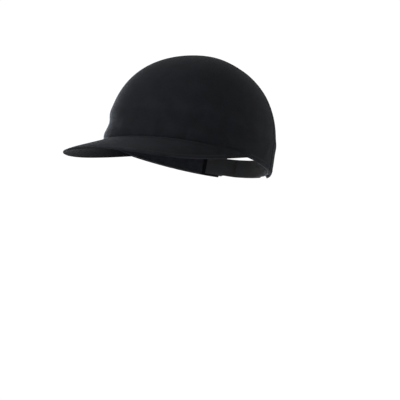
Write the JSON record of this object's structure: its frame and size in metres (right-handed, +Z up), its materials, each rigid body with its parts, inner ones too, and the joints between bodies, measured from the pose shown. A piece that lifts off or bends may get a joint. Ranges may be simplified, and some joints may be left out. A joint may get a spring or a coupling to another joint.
{
  "type": "bump cap",
  "caption": "Soft fabric cap with a short curved visor over a removable vented hard shell with foam pads, closed at the back by a hook-and-loop strap.",
  "frame": {"origin": "centre of the bounding box at its base: the cap stands on the two low sides of its visor and on the back of its hem", "axes": "+Z up from the surface it stands on, the visor points along -Y, and the wearer's left is +X. The plane of the rim leans back by 8.6 degrees"},
  "size_m": [0.173, 0.2482, 0.1229],
  "materials": {
    "crown_fabric": "matte black woven shell fabric",
    "lining": "matte brushed lining and seam tape",
    "webbing": "matte woven tape",
    "hook_and_loop": "matte hook-and-loop tape",
    "label": "satin blank woven label",
    "board": "matte visor board",
    "shell": "moulded ABS with a fine grain",
    "edge_trim": "matte",
    "foam": "closed-cell foam pads"
  },
  "bodies": {
    "cap": {"front_panel": "crown_fabric", "left_rear_panel": "crown_fabric", "right_rear_panel": "crown_fabric", "rear_opening_binding": "webbing", "left_seam_tape": "lining", "right_seam_tape": "lining", "rear_seam_tape": "lining", "sweatband": "lining", "care_label": "label", "left_loop_patch": "hook_and_loop", "right_loop_patch": "hook_and_loop", "visor_top_cover": "crown_fabric", "visor_board": "board", "visor_under_cover": "crown_fabric", "inner_strap": "webbing", "loop_tape": "hook_and_loop", "outer_strap_root": "webbing"},
    "strap": {"outer_strap": "webbing", "hook_tape": "hook_and_loop"},
    "insert": {"shell": "shell", "shell_edge_trim": "edge_trim", "front_pad": "foam", "left_pad": "foam", "rear_pad": "foam", "right_pad": "foam", "crown_pad": "foam", "left_hook_patch": "hook_and_loop", "right_hook_patch": "hook_and_loop"}
  },
  "joints": [
    {"name": "insert_out", "type": "slide", "parent": "cap", "child": "insert", "axis": [0, -0.136, -0.9907], "range_m": [0, 0.14]},
    {"name": "strap_peel", "type": "hinge", "parent": "cap", "child": "strap", "pos_m": [-0.02951, 0.1133, 0.01227], "axis": [0, 0.136, 0.9907], "range_deg": [0, 75]}
  ]
}
